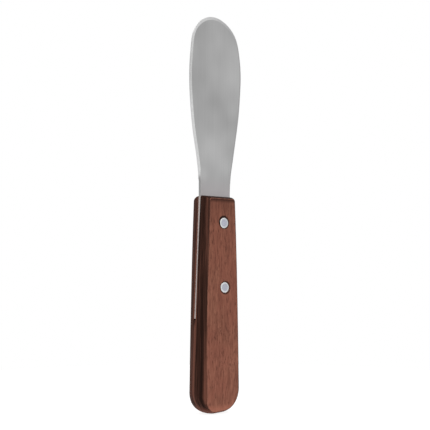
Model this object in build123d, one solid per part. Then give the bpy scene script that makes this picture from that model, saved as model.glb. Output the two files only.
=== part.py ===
from build123d import *

import math
import os

# A wooden-handled palette knife in the spreader pattern: a broad round-ended blade whose tang lies
# in a saw kerf down a one-piece handle, held there by two two-piece cutler's rivets.
#
# Millimetres. +Z runs along the knife with the tip up, +X across its width, and +Y through its
# thickness towards the back, so the front face looks along -Y. The origin is the middle of the
# butt end.

# ---- overall ----
overall_length = 196.0
handle_length = 105.9
handle_thickness = 12.7

# ---- blade and tang, one piece of sheet ----
tang_thickness = 1.5
tip_thickness = 1.2
neck_half_width = 9.4
tang_end_half_width = 12.2
tang_end_height = 46.0

# The edges of the blade, as (distance below the tip, reach to the left, reach to the right), from
# the shoulder of the rounded end down to the handle. The blade sits a little towards +X.
blade_stations = [
    (8.6, 13.25, 13.8),
    (16.5, 14.8, 16.1),
    (25.5, 15.6, 17.1),
    (37.5, 15.6, 16.7),
    (49.5, 14.65, 15.5),
    (62.0, 12.85, 13.4),
    (72.0, 10.95, 11.6),
    (82.5, 9.5, 9.8),
    (overall_length - handle_length, neck_half_width, neck_half_width),
]
# The rounded end, as (X, distance below the tip): it reaches the tip a little to the left of the middle.
tip_stations = [
    (7.8, 2.45),
    (-2.5, 0.15),
    (-9.9, 3.85),
]

# ---- handle ----
# Half widths at the top, the middle and the butt: of the flat faces, and of the bowed rim where
# it is widest, half way through the thickness.
face_half_widths = (7.95, 9.5, 9.7)
rim_half_widths = (9.55, 12.15, 14.15)
widths_middle_height = 56.0
front_top_bulge = 1.5
back_top_bulge = 1.2
butt_bulge = 1.6
# Radii of the outline's corners, for the faces and for the middle of the rim. The front face's left
# butt corner is shaped a little tighter than the back face's.
top_corner_radii = (1.2, 1.2)
front_left_butt_radii = (5.2, 11.3)
back_left_butt_radii = (7.0, 11.3)
right_butt_radii = (9.0, 12.8)
# The butt end runs a little out of square: its right corner stands higher than its left one.
butt_skew = 1.4
butt_lift = 0.12
rim_radius = 8.4
rim_sections = 7

# ---- saw kerf for the tang ----
kerf_clearance = 0.02
kerf_end_gap = 0.6
saw_radius = 75.0

# ---- rivets, as (name, height, distance from the middle towards +X) ----
rivets = [
    ("upper", 92.5, 1.1),
    ("lower", 61.0, 1.5),
]
head_diameter = 5.2
head_thickness = 1.3
head_recess = 0.12
head_rim_fillet = 0.25
head_seat_gap = 0.12
shank_diameter = 3.4
shank_gap = 0.05
pin_diameter = 2.2
pin_gap = 0.02
rivet_end_gap = 0.4

half_thickness = handle_thickness / 2
seat_depth = half_thickness - head_recess - head_thickness


def section_plane(y):
    """A plane parallel to the knife's faces at the given depth, its own x and y along +X and +Z."""
    return Plane(origin=(0, y, 0), x_dir=(1, 0, 0), z_dir=(0, -1, 0))


def slab(outline, thickness):
    """The outline made solid, to half the thickness on each side of the middle plane."""
    return extrude(section_plane(0) * make_face(outline), thickness / 2, both=True)


def blade_outline():
    """The blade's curved edge over the tip, closed round the flared, square-ended tang."""
    right = [(reach, overall_length - drop) for drop, _, reach in reversed(blade_stations)]
    tip = [(x, overall_length - drop) for x, drop in tip_stations]
    left = [(-reach, overall_length - drop) for drop, reach, _ in blade_stations]
    edge = Spline(*right, *tip, *left, tangents=[(0, 1), (0, -1)])
    tang = Polyline(
        left[-1],
        (-tang_end_half_width, tang_end_height),
        (tang_end_half_width, tang_end_height),
        right[0],
    )
    return edge + tang


def taper_wedge():
    """The blade's thickness seen from the side: even along the tang, thinner towards the tip."""
    root = tang_thickness / 2
    tip = tip_thickness / 2
    profile = Polyline(
        (-root, 0),
        (-root, handle_length),
        (-tip, overall_length),
        (tip, overall_length),
        (root, handle_length),
        (root, 0),
        close=True,
    )
    side = Plane(origin=(0, 0, 0), x_dir=(0, 1, 0), z_dir=(1, 0, 0))
    return extrude(side * make_face(profile), overall_length, both=True)


def rivet_hole(height, offset, diameter):
    """A round bar through the whole thickness, to bore a rivet's hole with."""
    place = section_plane(0) * Location((offset, height, 0))
    return place * Cylinder(diameter / 2, 2 * handle_thickness)


def make_blade():
    """The tapered blade and its tang in one piece, bored for the rivets."""
    uncut = slab(blade_outline(), handle_thickness)
    body = uncut & taper_wedge()
    for _, height, offset in rivets:
        body -= rivet_hole(height, offset, shank_diameter + 2 * shank_gap)
    return body


def rim_share(y):
    """How far out the bowed rim stands at depth y: 0 at the faces, 1 at the middle."""
    crown = rim_radius - math.sqrt(rim_radius**2 - half_thickness**2)
    return 1 - (rim_radius - math.sqrt(rim_radius**2 - y**2)) / crown


def between(pair, share):
    """The value that lies the given share of the way from the first of the pair to the second."""
    return pair[0] + (pair[1] - pair[0]) * share


def handle_section(y):
    """The handle's outline at depth y, as a face."""
    share = rim_share(y)
    top, middle, butt = (between(pair, share) for pair in zip(face_half_widths, rim_half_widths))
    top_bulge = front_top_bulge if y < 0 else back_top_bulge
    top_height = handle_length - top_bulge * (1 - share)
    left_butt_radii = front_left_butt_radii if y < 0 else back_left_butt_radii
    butt_height = butt_lift + butt_bulge * (1 - share)
    right_corner = (butt, butt_height + butt_skew / 2)
    left_corner = (-butt, butt_height - butt_skew / 2)
    right_side = ThreePointArc(right_corner, (middle, widths_middle_height), (top, top_height))
    top_end = Line((top, top_height), (-top, top_height))
    left_side = ThreePointArc((-top, top_height), (-middle, widths_middle_height), left_corner)
    butt_end = Line(left_corner, right_corner)
    face = make_face(right_side + top_end + left_side + butt_end)
    top_corners = face.vertices().sort_by(Axis.Y)[2:]
    face = fillet(top_corners, between(top_corner_radii, share))
    for corner, radii in ((left_corner, left_butt_radii), (right_corner, right_butt_radii)):
        nearest = face.vertices().sort_by_distance(corner)[0]
        face = fillet(nearest, between(radii, share))
    return section_plane(y) * face


def saw_rise(x):
    """How much higher the saw's rim stands at x than at the middle of its cut."""
    return saw_radius - math.sqrt(saw_radius**2 - x**2)


def kerf():
    """The saw kerf: open at the top and both sides, its closed end an arc of the saw's rim."""
    reach = rim_half_widths[-1] + 1
    deepest = tang_end_height - kerf_end_gap - saw_rise(tang_end_half_width)
    side_end = deepest + saw_rise(reach)
    saw_cut = ThreePointArc((-reach, side_end), (0, deepest), (reach, side_end))
    walls = Polyline(
        (reach, side_end),
        (reach, overall_length),
        (-reach, overall_length),
        (-reach, side_end),
    )
    return slab(saw_cut + walls, tang_thickness + 2 * kerf_clearance)


def head_seats(height, offset):
    """The two counterbores that a rivet's heads sit in, one in each face."""
    place = section_plane(0) * Location((offset, height, 0))
    radius = head_diameter / 2 + head_seat_gap
    seat = Cylinder(radius, handle_thickness, align=(Align.CENTER, Align.CENTER, Align.MIN))
    return place * (Pos(0, 0, seat_depth) * seat + Pos(0, 0, -seat_depth - handle_thickness) * seat)


def make_handle():
    """The one-piece wooden handle: flat faces, a bowed rim, the tang's kerf and the rivet holes."""
    spacing = handle_thickness / (rim_sections - 1)
    depths = [-half_thickness + i * spacing for i in range(rim_sections)]
    wood = loft([handle_section(y) for y in depths])
    wood -= kerf()
    for _, height, offset in rivets:
        wood -= rivet_hole(height, offset, shank_diameter + 2 * shank_gap)
        wood -= head_seats(height, offset)
    return wood


def rivet_head():
    """A flat round head on +Z of its seat, with its upper rim rounded."""
    head = Cylinder(head_diameter / 2, head_thickness, align=(Align.CENTER, Align.CENTER, Align.MIN))
    return fillet(head.edges().group_by(Axis.Z)[-1], head_rim_fillet)


def make_rivet_socket():
    """The front half of a rivet: its head, and the tube that runs through to the back half."""
    length = 2 * seat_depth - rivet_end_gap
    downwards = (Align.CENTER, Align.CENTER, Align.MAX)
    tube = Cylinder(shank_diameter / 2, length, align=downwards)
    bore = Cylinder(pin_diameter / 2 + pin_gap, length, align=downwards)
    return Pos(0, 0, seat_depth) * (rivet_head() + tube - bore)


def make_rivet_pin():
    """The back half of a rivet: its head, and the pin that is driven into the tube."""
    length = 2 * seat_depth - rivet_end_gap
    pin = Cylinder(pin_diameter / 2, length, align=(Align.CENTER, Align.CENTER, Align.MAX))
    half = Pos(0, 0, seat_depth) * (rivet_head() + pin)
    return Rot(180, 0, 0) * half


def main():
    os.makedirs("parts", exist_ok=True)
    nodes = {"blade": make_blade(), "handle": make_handle()}
    for name, height, offset in rivets:
        place = section_plane(0) * Location((offset, height, 0))
        nodes[name + "_rivet_socket"] = place * make_rivet_socket()
        nodes[name + "_rivet_pin"] = place * make_rivet_pin()
    for name, shape in nodes.items():
        export_step(shape, "parts/" + name + ".step")


main()
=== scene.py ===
import math

import bmesh
import bpy
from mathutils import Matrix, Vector


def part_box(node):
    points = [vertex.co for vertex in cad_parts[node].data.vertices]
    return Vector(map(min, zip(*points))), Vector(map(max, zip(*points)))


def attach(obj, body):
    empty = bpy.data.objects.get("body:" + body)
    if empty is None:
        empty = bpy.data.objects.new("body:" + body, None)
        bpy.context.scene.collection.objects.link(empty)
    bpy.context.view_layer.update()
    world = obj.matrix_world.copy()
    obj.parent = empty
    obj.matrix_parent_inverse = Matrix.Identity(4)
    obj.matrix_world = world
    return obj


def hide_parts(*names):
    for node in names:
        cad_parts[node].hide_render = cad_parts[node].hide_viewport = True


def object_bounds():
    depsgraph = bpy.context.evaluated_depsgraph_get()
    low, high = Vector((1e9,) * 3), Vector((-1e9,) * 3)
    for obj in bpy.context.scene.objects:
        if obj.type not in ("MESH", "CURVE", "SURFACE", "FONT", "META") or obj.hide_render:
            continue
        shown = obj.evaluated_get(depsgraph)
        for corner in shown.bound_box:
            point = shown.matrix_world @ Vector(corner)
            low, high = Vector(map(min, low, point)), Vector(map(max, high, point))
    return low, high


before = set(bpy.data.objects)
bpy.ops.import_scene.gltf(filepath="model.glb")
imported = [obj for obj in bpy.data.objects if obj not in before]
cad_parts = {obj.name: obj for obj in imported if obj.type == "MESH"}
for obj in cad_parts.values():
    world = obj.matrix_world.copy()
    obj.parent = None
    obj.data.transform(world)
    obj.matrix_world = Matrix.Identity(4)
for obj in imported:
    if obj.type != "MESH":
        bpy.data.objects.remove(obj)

MM = 0.001
cad_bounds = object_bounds()

# ---- where things are, from the frame ----
floor_height = cad_bounds[0].z
blade_low, blade_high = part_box("blade")
tang_end = blade_low.z
tip = blade_high.z
handle_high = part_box("handle")[1]
handle_top = handle_high.z
half_thickness = handle_high.y
face_top = handle_top - 1.5 * MM

# ---- rivets: where the painted shade in the gap round each head is wider, from the head's middle (X, Z) ----
RIVET_SHADE_LEAN = {
    "upper": (-0.38 * MM, 0.36 * MM),
    "lower": (0.12 * MM, -0.10 * MM),
}

# ---- view ----
view_azimuth = math.radians(-40)
camera_distance = 461 * MM
camera_height = 64.7 * MM
aim_height = 96.7 * MM
aim_right = 0.3 * MM
camera_lens = 78.2
camera_near_limit = 10 * MM

# ---- light: how bright the white room, its soft box and the floor are, and where the box is ----
room_front = 0.60
room_behind = 0.72
room_above = 1.6
soft_box = 1.35
soft_box_azimuth = math.radians(-30)
soft_box_elevation = math.radians(38)
floor_glow = 0.88

# ---- floor: the radius of its disc, and how many sides the disc has ----
floor_radius = 260 * MM
floor_sides = 64

# ---- ground edge of the blade: its width, where it starts above the handle, and how it thins ----
side_grind = 0.85 * MM
tip_grind = 1.45 * MM
tip_grind_length = 13 * MM
grind_start = 8.5 * MM
grind_full = 11.0 * MM
edge_thinning = 0.30
unground_share = 0.03

# ---- wood: how far its edges are rounded, and how its growth lines slant along the handle ----
face_edge_round = 0.32 * MM
kerf_edge_round = 0.06 * MM
growth_slant = 0.012

# ---- telling surfaces apart, by the share of a face's direction that lies along Y ----
least_flat = 0.99
most_upright = 0.5

# ---- angles between faces, in degrees: flat, an edge to round, and an edge that is shaded crisp ----
still_flat = 0.4
edge_to_round = 22
crisp_on_blade = 9
crisp_on_handle = 26

# ---- how close two points have to be to merge, and an edge to a flat face to be its border ----
merge_distance = 0.001 * MM
border_distance = 0.05 * MM

# ---- which of its piece's materials a face takes ----
GROUND_EDGE = 1
FACE_WOOD, RIM_WOOD, EDGE_WOOD = 0, 1, 2

# ---- the range that most of a noise's values fall in ----
NOISE_LOW, NOISE_HIGH = 0.3, 0.7


# ------------------------------------------------------------------ node graphs
class Nodes:
    """A node tree, with short calls for the nodes that the finishes and the room use."""

    def __init__(self, tree):
        self.tree = tree

    def put(self, socket, value):
        """Links an output to the socket, or sets a plain value on it."""
        if isinstance(value, bpy.types.NodeSocket):
            self.tree.links.new(value, socket)
        else:
            socket.default_value = value

    def node(self, kind, **inputs):
        """A new shader node. Each input named is set, or linked if its value is an output."""
        made = self.tree.nodes.new("ShaderNode" + kind)
        for name, value in inputs.items():
            self.put(made.inputs[name], value)
        return made

    def noise(self, vector, detail=3.0, roughness=0.55, distortion=0.0):
        """Smooth noise over the vector, between 0 and 1."""
        made = self.node(
            "TexNoise", Vector=vector, Scale=1.0, Detail=detail, Roughness=roughness, Distortion=distortion
        )
        return made.outputs["Fac"]

    def math(self, operation, a, b=0.0, clamp=False):
        """One step of arithmetic on a, or on a and b."""
        made = self.node("Math")
        made.operation = operation
        made.use_clamp = clamp
        self.put(made.inputs[0], a)
        self.put(made.inputs[1], b)
        return made.outputs[0]

    def ramp(self, value, low, high, to_low=0.0, to_high=1.0):
        """The value between low and high, eased to between to_low and to_high."""
        made = self.node("MapRange")
        made.interpolation_type = "SMOOTHSTEP"
        for index, number in enumerate((value, low, high, to_low, to_high)):
            self.put(made.inputs[index], number)
        return made.outputs[0]

    def spread(self, noise, to_low, to_high):
        """A noise's usual range, eased to between to_low and to_high."""
        return self.ramp(noise, NOISE_LOW, NOISE_HIGH, to_low, to_high)

    def mix(self, share, a, b):
        """Colours a and b, mixed. The node's sockets go by number, because their names repeat."""
        made = self.node("Mix")
        made.data_type = "RGBA"
        self.put(made.inputs[0], share)
        self.put(made.inputs[6], a)
        self.put(made.inputs[7], b)
        return made.outputs[2]

    def stops(self, value, colours):
        """A colour ramp through (position, colour) stops."""
        made = self.node("ValToRGB", Fac=value)
        elements = made.color_ramp.elements
        while len(elements) < len(colours):
            elements.new(0.5)
        for element, (position, colour) in zip(elements, colours):
            element.position = position
            element.color = colour
        return made.outputs["Color"]

    def axis(self, vector, name):
        """The vector's X, Y or Z."""
        return self.node("SeparateXYZ", Vector=vector).outputs[name]

    def along(self, vector, direction):
        """How far the vector runs along the direction."""
        made = self.node("VectorMath")
        made.operation = "DOT_PRODUCT"
        self.put(made.inputs[0], vector)
        self.put(made.inputs[1], direction)
        return made.outputs["Value"]

    def grey(self, tone):
        """The grey of this tone."""
        return self.node("CombineColor", Red=tone, Green=tone, Blue=tone).outputs[0]


class Graph(Nodes):
    """A new material's node tree, with each point's place and facing in the knife's own frame."""

    def __init__(self, name):
        self.material = bpy.data.materials.new(name)
        self.material.use_nodes = True
        super().__init__(self.material.node_tree)
        self.shader = self.tree.nodes["Principled BSDF"]
        coordinates = self.node("TexCoord")
        self.place = coordinates.outputs["Object"]
        self.facing = coordinates.outputs["Normal"]

    def stretched(self, scale, offset=(0, 0, 0), turn=(0, 0, 0)):
        """Each point's place, turned and scaled along each axis."""
        mapping = self.node("Mapping", Vector=self.place, Scale=scale, Location=offset, Rotation=turn)
        return mapping.outputs["Vector"]

    def away_from(self, x, z):
        """Distance from the line through (x, z) that runs through the thickness."""
        across = self.math("SUBTRACT", self.axis(self.place, "X"), x)
        along = self.math("SUBTRACT", self.axis(self.place, "Z"), z)
        squares = self.math("ADD", self.math("POWER", across, 2.0), self.math("POWER", along, 2.0))
        return self.math("SQRT", squares)

    def bump(self, height, strength, distance):
        """Presses the height's relief into the surface."""
        made = self.node("Bump", Height=height, Strength=strength, Distance=distance)
        self.put(self.shader.inputs["Normal"], made.outputs["Normal"])

    def finish(self, **inputs):
        """Sets or links the shader's inputs, and gives the material back."""
        for name, value in inputs.items():
            self.put(self.shader.inputs[name.replace("_", " ")], value)
        return self.material


def srgb(red, green, blue):
    """A linear colour from screen values of 0 to 255."""

    def linear(v):
        v = v / 255
        return v / 12.92 if v <= 0.04045 else ((v + 0.055) / 1.055) ** 2.4

    return (linear(red), linear(green), linear(blue), 1.0)


# ------------------------------------------------------------------ finishes
SHADED_LIGHT_GRAIN = srgb(96, 62, 52)
SHADED_MID_GRAIN = srgb(74, 45, 36)
SHADED_DARK_GRAIN = srgb(55, 33, 26)
SHADED_DEEP_GRAIN = srgb(34, 18, 12)

# Growth lines across the handle's thickness, from its front face (0) to its back face (1), in painted
# shade: far darker than the faces, darkest in the front half and lighter in the back half, which turns
# towards the light behind.
GROWTH_LINES_AND_SIDE_SHADE = (
    (0.00, SHADED_DARK_GRAIN),
    (0.12, SHADED_DARK_GRAIN),
    (0.24, SHADED_DEEP_GRAIN),
    (0.31, SHADED_DARK_GRAIN),
    (0.39, SHADED_DEEP_GRAIN),
    (0.43, SHADED_DARK_GRAIN),
    (0.54, SHADED_LIGHT_GRAIN),
    (0.60, SHADED_MID_GRAIN),
    (0.66, SHADED_DARK_GRAIN),
    (0.73, SHADED_MID_GRAIN),
    (0.81, SHADED_DARK_GRAIN),
    (1.00, SHADED_MID_GRAIN),
)


def rivet_head(name):
    """The middle of a rivet's front half, and its head's radius."""
    low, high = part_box(name + "_rivet_socket")
    return (low + high) / 2, (high.x - low.x) / 2


def rivet_shade_rings(g):
    """How far each point lies in the painted shade of the gap round a rivet's head, wider on one side of
    each.
    """
    rings = 0.0
    for name, (across, along) in RIVET_SHADE_LEAN.items():
        middle, radius = rivet_head(name)
        from_middle = g.away_from(middle.x, middle.z)
        even = g.ramp(from_middle, radius + 0.20 * MM, radius + 0.55 * MM, 0.9, 0.0)
        from_wide_side = g.away_from(middle.x + across, middle.z + along)
        leaning = g.ramp(from_wide_side, radius + 0.45 * MM, radius + 0.85 * MM, 1.0, 0.0)
        rings = g.math("MAXIMUM", rings, g.math("MAXIMUM", even, leaning))
    return rings


def wood_surface(g, colour, pores, gloss=0.10):
    """Gives the wood's colour its fibre, pores and dull oiled surface."""
    fibre = g.noise(g.stretched((5200, 5200, 300)), detail=2)
    height = g.math("SUBTRACT", g.math("MULTIPLY", fibre, 0.35), g.math("MULTIPLY", pores, 0.8))
    g.bump(height, 0.4, 0.06 * MM)
    roughness = g.spread(fibre, 0.50, 0.64)
    return g.finish(Base_Color=colour, Roughness=roughness, Specular_IOR_Level=gloss)


def wood_face_finish():
    """Flat faces of oiled reddish hardwood: soft patches, straight grain and short dark pores, with painted
    shade towards the top and round the rivet heads, and paler towards the butt.
    """
    dark_figure, light_figure, redder = srgb(112, 69, 55), srgb(133, 86, 69), srgb(124, 74, 60)
    dark_grain, light_grain, pore = srgb(98, 58, 46), srgb(142, 94, 76), srgb(66, 35, 27)
    shaded, top_edge_shade, paler_wood = srgb(76, 45, 36), srgb(50, 28, 21), srgb(150, 94, 76)
    rivet_gap_shade = srgb(26, 12, 8)
    g = Graph("wood_face")
    patches = g.noise(g.stretched((110, 60, 60), (1, 2, 3)), detail=2)
    figure = g.noise(g.stretched((520, 300, 60), (3, 1, 2), turn=(0, 0.05, 0)), detail=4, distortion=0.5)
    grain = g.noise(g.stretched((1300, 1100, 170), (0, 2, 6), turn=(0, 0.04, 0)), detail=3)
    dashes = g.noise(g.stretched((2100, 1500, 360), (7, 4, 1), turn=(0, 0.08, 0)), detail=2)
    pores = g.ramp(dashes, 0.56, 0.68)
    colour = g.mix(g.ramp(figure, 0.34, 0.66), dark_figure, light_figure)
    colour = g.mix(g.ramp(patches, 0.38, 0.64, 0.0, 0.6), colour, redder)
    colour = g.mix(g.ramp(grain, 0.44, 0.70, 0.0, 0.6), colour, dark_grain)
    colour = g.mix(g.ramp(grain, 0.46, 0.28, 0.0, 0.5), colour, light_grain)
    colour = g.mix(g.math("MULTIPLY", pores, 0.6), colour, pore)
    height = g.axis(g.place, "Z")
    near_top = g.ramp(height, face_top - 15 * MM, face_top - 2 * MM, 0.0, 0.25)
    colour = g.mix(near_top, colour, shaded)
    # painted shade along the top of the face, just under its top edge
    at_top = g.ramp(height, face_top - 2.6 * MM, face_top - 0.3 * MM, 0.0, 0.85)
    colour = g.mix(at_top, colour, top_edge_shade)
    # paler towards the butt
    at_butt = g.ramp(height, 1.5 * MM, 6.0 * MM, 0.75, 0.0)
    colour = g.mix(at_butt, colour, paler_wood)
    # painted shade of the gap round each rivet head, wider on one side
    colour = g.mix(g.math("MULTIPLY", rivet_shade_rings(g), 0.95), colour, rivet_gap_shade)
    return wood_surface(g, colour, pores)


def slot_shade(g):
    """How far each point lies in the painted shade round the saw slot under the tang's end."""
    height = g.axis(g.place, "Z")
    depth = g.math("ABSOLUTE", g.axis(g.place, "Y"))
    near = g.ramp(depth, 0.5 * MM, 1.2 * MM, 1.0, 0.0)
    below = g.ramp(height, tang_end - 5 * MM, tang_end - 0.5 * MM)
    under = g.ramp(height, tang_end + 0.2 * MM, tang_end + 0.6 * MM, 1.0, 0.0)
    return g.math("MULTIPLY", near, g.math("MULTIPLY", below, under))


def wood_rim_finish():
    """The rim of the same wood, in painted shade: growth lines along the handle, painted light where it
    turns towards the flat faces, and end grain at its two ends, painted lighter at the butt by light from
    below.
    """
    paler_wood, dark_streak, light_streak = srgb(96, 58, 46), srgb(24, 12, 8), srgb(108, 68, 56)
    slot_shade_colour = srgb(26, 10, 7)
    dark_top_grain, light_top_grain = srgb(30, 15, 10), srgb(50, 27, 19)
    dark_lit_butt_grain, light_lit_butt_grain = srgb(82, 43, 32), srgb(106, 60, 46)
    g = Graph("wood_rim")
    height = g.axis(g.place, "Z")
    wander = g.noise(g.stretched((40, 40, 30), (5, 1, 2)), detail=2)
    drift = g.spread(wander, -0.25 * MM, 0.25 * MM)
    slant = g.math("MULTIPLY", g.math("SUBTRACT", handle_top - 16 * MM, height), growth_slant)
    depth = g.math("ADD", g.axis(g.place, "Y"), g.math("ADD", drift, slant))
    share = g.math("DIVIDE", g.math("ADD", depth, half_thickness), 2 * half_thickness, clamp=True)
    streaks = g.noise(g.stretched((300, 1500, 12), (2, 5, 1)), detail=4, roughness=0.75)
    # painted shade: the growth-line tones, darker than the faces and darkest in front
    colour = g.stops(share, GROWTH_LINES_AND_SIDE_SHADE)
    # painted light where the rim turns towards the flat faces, stronger lower down
    outward = g.ramp(g.math("ABSOLUTE", g.axis(g.facing, "Y")), 0.66, 0.86)
    lower_down = g.ramp(height, handle_top - 70 * MM, handle_top - 20 * MM, 0.8, 0.15)
    colour = g.mix(g.math("MULTIPLY", outward, lower_down), colour, paler_wood)
    colour = g.mix(g.ramp(streaks, 0.49, 0.61, 0.0, 0.65), colour, dark_streak)
    colour = g.mix(g.ramp(streaks, 0.50, 0.36, 0.0, 0.55), colour, light_streak)
    # painted shade in the saw slot under the tang's end
    colour = g.mix(g.math("MULTIPLY", slot_shade(g), 0.75), colour, slot_shade_colour)

    end_grain = g.ramp(g.noise(g.stretched((2600, 2600, 300), (1, 8, 3)), detail=3), 0.35, 0.65)
    upward = g.ramp(g.axis(g.facing, "Z"), 0.42, 0.62)
    near_top = g.ramp(height, handle_top - 14 * MM, handle_top - 9 * MM)
    top_grain = g.mix(end_grain, dark_top_grain, light_top_grain)
    colour = g.mix(g.math("MULTIPLY", upward, near_top), colour, top_grain)
    # painted light from below on the faces turned down at the butt, over the end grain
    downward = g.ramp(g.axis(g.facing, "Z"), -0.52, -0.90, 0.0, 0.85)
    lit_butt_grain = g.mix(end_grain, dark_lit_butt_grain, light_lit_butt_grain)
    colour = g.mix(downward, colour, lit_butt_grain)
    return wood_surface(g, colour, g.ramp(streaks, 0.55, 0.70), gloss=0.04)


def wood_edge_finish():
    """The rounded edges of the flat faces, in painted light: lighter low down, shaded darker higher up, and
    a painted highlight along the top edge.
    """
    dark_rub, light_rub, upper_edge_shade = srgb(96, 60, 47), srgb(124, 80, 65), srgb(58, 35, 27)
    g = Graph("wood_edge")
    rub = g.noise(g.stretched((700, 700, 220), (3, 3, 1)), detail=3)
    colour = g.mix(g.ramp(rub, 0.35, 0.65), dark_rub, light_rub)
    height = g.axis(g.place, "Z")
    # painted shade on the upper edges, stopping short of the top edge, which keeps the lighter tone as a
    # painted highlight
    higher_up = g.ramp(height, face_top - 60 * MM, face_top - 15 * MM, 0.0, 0.8)
    below_top = g.ramp(height, face_top - 1.5 * MM, face_top - 0.5 * MM, 1.0, 0.0)
    colour = g.mix(g.math("MULTIPLY", higher_up, below_top), colour, upper_edge_shade)
    return wood_surface(g, colour, g.ramp(rub, 0.60, 0.75))


# Soft lighter and darker patches on the blade, painted reflections, as (X, height above the handle, radius,
# change of tone).
BLADE_REFLECTIONS = (
    (12.0 * MM, 65 * MM, 22 * MM, 0.165),
    (12.5 * MM, 44 * MM, 8 * MM, 0.060),
    (11.0 * MM, 31 * MM, 8 * MM, 0.060),
    (8.5 * MM, 14 * MM, 8 * MM, 0.085),
    (-8.5 * MM, 10 * MM, 6 * MM, 0.080),
    (-7.0 * MM, 80 * MM, 9 * MM, -0.040),
    (6.5 * MM, 81 * MM, 8 * MM, 0.040),
    (2.0 * MM, 69 * MM, 9 * MM, -0.030),
    (-1.5 * MM, 47 * MM, 8 * MM, -0.048),
    (-7.0 * MM, 24 * MM, 14 * MM, 0.070),
    (6.0 * MM, 22 * MM, 12 * MM, 0.040),
)


def steel_finish():
    """Satin stainless: fine brushing along the blade, soft clouds, painted reflections as lighter and
    darker patches and a lighter lower blade, and a warm pale band by the wood.
    """
    warm_pale_steel = srgb(218, 211, 213)
    g = Graph("satin_steel")
    lines = g.noise(g.stretched((5200, 3000, 38)), detail=2)
    bands = g.noise(g.stretched((1100, 600, 26), (4, 2, 0)), detail=3)
    clouds = g.noise(g.stretched((70, 62, 48), (1, 3, 5), turn=(0, 0.6, 0)), detail=1)
    height = g.axis(g.place, "Z")
    tone = g.math("ADD", g.spread(clouds, 0.60, 0.64), g.spread(bands, -0.008, 0.008))
    tone = g.math("ADD", tone, g.spread(lines, -0.014, 0.014))
    # painted reflection: the lower blade lighter
    tone = g.math("ADD", tone, g.ramp(height, handle_top + 15 * MM, handle_top + 60 * MM, 0.07, 0.0))
    for x, above, radius, change in BLADE_REFLECTIONS:
        patch = g.ramp(g.away_from(x, handle_top + above), 0.0, radius, change, 0.0)
        tone = g.math("ADD", tone, patch)
    # a warm pale band on the blade by the wood
    by_wood = g.ramp(height, handle_top + 1 * MM, handle_top + 11 * MM, 0.6, 0.0)
    colour = g.mix(by_wood, g.grey(tone), warm_pale_steel)
    g.bump(lines, 0.10, 0.01 * MM)
    return g.finish(Base_Color=colour, Roughness=g.spread(clouds, 0.34, 0.40), Metallic=1.0)


def ground_edge_finish():
    """The ground edge, with short marks across it: a painted reflection makes it brightest on the left,
    most along the neck, and a little brighter by the tip; dull beside the wood, and rubbed pale down the
    tang."""
    dark_tang, light_tang = srgb(206, 194, 189), srgb(232, 220, 215)
    g = Graph("ground_edge")
    marks = g.noise(g.stretched((700, 700, 3800)), detail=2)
    height = g.axis(g.place, "Z")
    # painted reflection: the edge lighter by the tip, on the left, and most on the left along the neck
    by_tip = g.ramp(height, tip - 16 * MM, tip - 4 * MM, 0.0, 0.03)
    by_neck = g.ramp(height, handle_top + 38 * MM, handle_top + 62 * MM, 0.25, 0.01)
    left = g.ramp(g.axis(g.place, "X"), -4 * MM, 6 * MM, 1.0, 0.0)
    bright = g.math("ADD", g.spread(marks, 0.58, 0.65), g.math("MULTIPLY", left, 0.12))
    bright = g.math("ADD", bright, g.math("ADD", by_tip, g.math("MULTIPLY", left, by_neck)))
    dull = g.spread(marks, 0.45, 0.53)
    ground = g.ramp(height, handle_top + 8 * MM, handle_top + 11 * MM)
    colour = g.mix(ground, g.grey(dull), g.grey(bright))
    in_wood = g.ramp(height, handle_top - 1 * MM, handle_top + 0.5 * MM, 1.0, 0.0)
    colour = g.mix(in_wood, colour, g.mix(g.ramp(marks, 0.35, 0.65), dark_tang, light_tang))
    g.bump(marks, 0.12, 0.01 * MM)
    return g.finish(Base_Color=colour, Roughness=g.spread(marks, 0.32, 0.38), Metallic=1.0)


def rivet_finish():
    """Satin aluminium: slightly blue and rubbed, with painted shade on the lower rivet and a painted
    highlight round the rim of each head.
    """
    dark_rub, light_rub, lower_rivet_shade = srgb(208, 211, 227), srgb(226, 229, 242), srgb(196, 198, 209)
    rim_highlight = srgb(246, 250, 251)
    g = Graph("rivet_metal")
    rub = g.noise(g.stretched((3600, 3600, 2600)), detail=2)
    centre = g.mix(g.ramp(rub, 0.35, 0.7), dark_rub, light_rub)
    # painted shade: the lower rivet darker
    lower = g.ramp(g.axis(g.place, "Z"), handle_top - 35 * MM, handle_top - 25 * MM, 0.6, 0.0)
    centre = g.mix(lower, centre, lower_rivet_shade)
    # painted highlight round the rim of each head
    rim = 0.0
    for name in RIVET_SHADE_LEAN:
        middle, radius = rivet_head(name)
        distance = g.away_from(middle.x, middle.z)
        ring = g.ramp(distance, radius - 1.0 * MM, radius - 0.5 * MM)
        nearby = g.ramp(distance, radius + 0.2 * MM, radius + 0.5 * MM, 1.0, 0.0)
        rim = g.math("MAXIMUM", rim, g.math("MULTIPLY", ring, nearby))
    g.bump(rub, 0.05, 0.01 * MM)
    colour = g.mix(rim, centre, rim_highlight)
    return g.finish(Base_Color=colour, Roughness=g.spread(rub, 0.40, 0.48), Metallic=1.0)


def floor_finish():
    """A pale, matt light table, lit so strongly from beneath that the shadow on it is faint."""
    return Graph("floor").finish(
        Base_Color=(0.20, 0.20, 0.20, 1), Roughness=0.9, Specular_IOR_Level=0.1,
        Emission_Color=(1, 1, 1, 1), Emission_Strength=floor_glow,
    )


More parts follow.
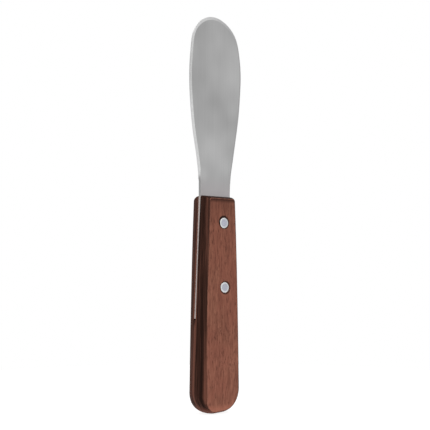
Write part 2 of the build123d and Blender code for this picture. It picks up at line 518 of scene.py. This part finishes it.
# ------------------------------------------------------------------ pieces
def copy_of(node, name, *materials):
    """A new piece with the CAD node's shape, its triangles joined into whole flat faces."""
    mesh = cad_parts[node].data.copy()
    mesh.name = name
    mesh.materials.clear()
    for material in materials:
        mesh.materials.append(material)
    piece = bpy.data.objects.new(name, mesh)
    bpy.context.scene.collection.objects.link(piece)
    shape = bmesh.new()
    shape.from_mesh(mesh)
    bmesh.ops.remove_doubles(shape, verts=shape.verts, dist=merge_distance)
    bmesh.ops.dissolve_limit(
        shape, angle_limit=math.radians(still_flat), verts=shape.verts, edges=shape.edges
    )
    return piece, shape


def settle(piece, shape, node, crisp):
    """Writes the worked mesh back, shaded smooth except at edges sharper than the angle given, and
    lets the piece stand for the CAD node."""
    for face in shape.faces:
        face.smooth = True
    shape.to_mesh(piece.data)
    shape.free()
    piece.data.set_sharp_from_angle(angle=math.radians(crisp))
    normals = piece.modifiers.new("flat_faces_stay_flat", "WEIGHTED_NORMAL")
    normals.keep_sharp = True
    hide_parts(node)
    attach(piece, "root")


def corner_edges(shape):
    """The edges whose two faces meet sharply enough to be rounded."""
    least = math.radians(edge_to_round)
    return [e for e in shape.edges if len(e.link_faces) == 2 and e.calc_face_angle(0) > least]


def eased(value, low, high):
    """0 at low and 1 at high, with a gentle start and end."""
    share = min(max((value - low) / (high - low), 0.0), 1.0)
    return share * share * (3 - 2 * share)


def grind_width(z):
    """Width of the ground band along the blade's edge: next to none by the handle, widest at the tip."""
    width = side_grind + (tip_grind - side_grind) * eased(z, tip - tip_grind_length, tip)
    ground = eased(z, handle_top + grind_start, handle_top + grind_full)
    return width * (unground_share + (1 - unground_share) * ground)


def grind_edges(shape):
    """Thins the blade towards its edge on both faces, and gives back the ground band's faces."""
    faces = [f for f in shape.faces if abs(f.normal.y) > least_flat]
    band = bmesh.ops.inset_region(
        shape, faces=faces, thickness=tip_grind, use_even_offset=True, use_boundary=True
    )["faces"]
    kept = {v for f in faces for v in f.verts}
    outer = {v for f in band for v in f.verts} - kept
    for vertex in outer:
        for edge in vertex.link_edges:
            inner = edge.other_vert(vertex)
            if inner in kept:
                share = grind_width(vertex.co.z) / tip_grind
                inner.co = vertex.co.lerp(inner.co, share)
    for vertex in set(shape.verts) - kept:
        share = grind_width(vertex.co.z) / side_grind
        vertex.co.y *= 1 - edge_thinning * min(share, 1.0)
    return band


def make_blade(steel, edge):
    """The blade and tang in brushed steel, with a ground edge."""
    piece, shape = copy_of("blade", "blade_sheet", steel, edge)
    walls = [f for f in shape.faces if abs(f.normal.y) < most_upright]
    for face in grind_edges(shape) + walls:
        face.material_index = GROUND_EDGE
    settle(piece, shape, "blade", crisp_on_blade)


def round_edges(shape, edges, offset, segments):
    """Rounds the edges, and gives back the faces that this makes."""
    return bmesh.ops.bevel(
        shape, geom=edges, offset=offset, segments=segments, profile=0.5, affect="EDGES",
        clamp_overlap=True, material=RIM_WOOD,
    )["faces"]


def make_handle(face_wood, rim_wood, edge_wood):
    """The wooden handle, its edges rounded: barely along the kerf, more round the flat faces."""
    piece, shape = copy_of("handle", "wooden_handle", face_wood, rim_wood, edge_wood)
    for face in shape.faces:
        face.material_index = FACE_WOOD if abs(face.normal.y) > least_flat else RIM_WOOD
    sharp = corner_edges(shape)
    border_depth = half_thickness - border_distance
    by_face = [e for e in sharp if min(abs(v.co.y) for v in e.verts) > border_depth]
    by_kerf = [e for e in sharp if e not in by_face]
    round_edges(shape, by_kerf, kerf_edge_round, 1)
    by_face = [e for e in by_face if e.is_valid]
    for face in round_edges(shape, by_face, face_edge_round, 3):
        face.material_index = EDGE_WOOD
    settle(piece, shape, "handle", crisp_on_handle)


def finish_rivets(metal):
    """Gives the rivets' CAD nodes, which show as they are, their metal."""
    for name in RIVET_SHADE_LEAN:
        for half in ("socket", "pin"):
            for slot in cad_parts[f"{name}_rivet_{half}"].material_slots:
                slot.material = metal


# ------------------------------------------------------------------ stage
def make_floor(material):
    """A round table top, which ends where nothing but the white room lies beyond it."""
    mesh = bpy.data.meshes.new("floor")
    angles = [2 * math.pi * i / floor_sides for i in range(floor_sides)]
    rim = [(floor_radius * math.cos(a), floor_radius * math.sin(a), floor_height) for a in angles]
    mesh.from_pydata(rim, [], [tuple(range(floor_sides))])
    mesh.materials.append(material)
    floor = bpy.data.objects.new("floor", mesh)
    bpy.context.scene.collection.objects.link(floor)


def make_room():
    """A soft white room: brightest above, a little brighter behind the knife than in front, with a
    soft box high in front. The camera itself sees plain white."""
    world = bpy.data.worlds.new("studio")
    world.use_nodes = True
    room = Nodes(world.node_tree)
    towards = room.node("TexCoord").outputs["Generated"]
    box_direction = (
        math.sin(soft_box_azimuth) * math.cos(soft_box_elevation),
        -math.cos(soft_box_azimuth) * math.cos(soft_box_elevation),
        math.sin(soft_box_elevation),
    )
    around = room.ramp(room.along(towards, (0, 1, 0)), -0.9, 0.6, room_front, room_behind)
    above = room.ramp(room.along(towards, (0, 0, 1)), 0.3, 1.0, 0.0, room_above)
    box = room.ramp(room.along(towards, box_direction), 0.70, 0.95, 0.0, soft_box)
    brightness = room.math("ADD", room.math("ADD", around, above), box)
    lighting = room.node("Background", Strength=brightness)
    backdrop = room.tree.nodes["Background"]
    backdrop.inputs["Color"].default_value = (1, 1, 1, 1)
    choice = room.node("MixShader", Fac=room.node("LightPath").outputs["Is Camera Ray"])
    room.put(choice.inputs[1], lighting.outputs[0])
    room.put(choice.inputs[2], backdrop.outputs[0])
    room.put(room.tree.nodes["World Output"].inputs["Surface"], choice.outputs[0])
    bpy.context.scene.world = world


def make_camera():
    """The camera, round to the knife's left and a little below its middle, aimed near the middle."""
    data = bpy.data.cameras.new("camera")
    data.lens = camera_lens
    data.clip_start = camera_near_limit
    camera = bpy.data.objects.new("camera", data)
    away = Vector((math.sin(view_azimuth), -math.cos(view_azimuth), 0))
    right = Vector((math.cos(view_azimuth), math.sin(view_azimuth), 0))
    camera.location = away * camera_distance + Vector((0, 0, camera_height))
    target = right * aim_right + Vector((0, 0, aim_height))
    camera.rotation_mode = "QUATERNION"
    camera.rotation_quaternion = (target - camera.location).to_track_quat("-Z", "Y")
    bpy.context.scene.collection.objects.link(camera)
    bpy.context.scene.camera = camera


make_camera()
make_room()
make_floor(floor_finish())
make_blade(steel_finish(), ground_edge_finish())
make_handle(wood_face_finish(), wood_rim_finish(), wood_edge_finish())
finish_rivets(rivet_finish())
bpy.context.scene.view_settings.view_transform = "Standard"
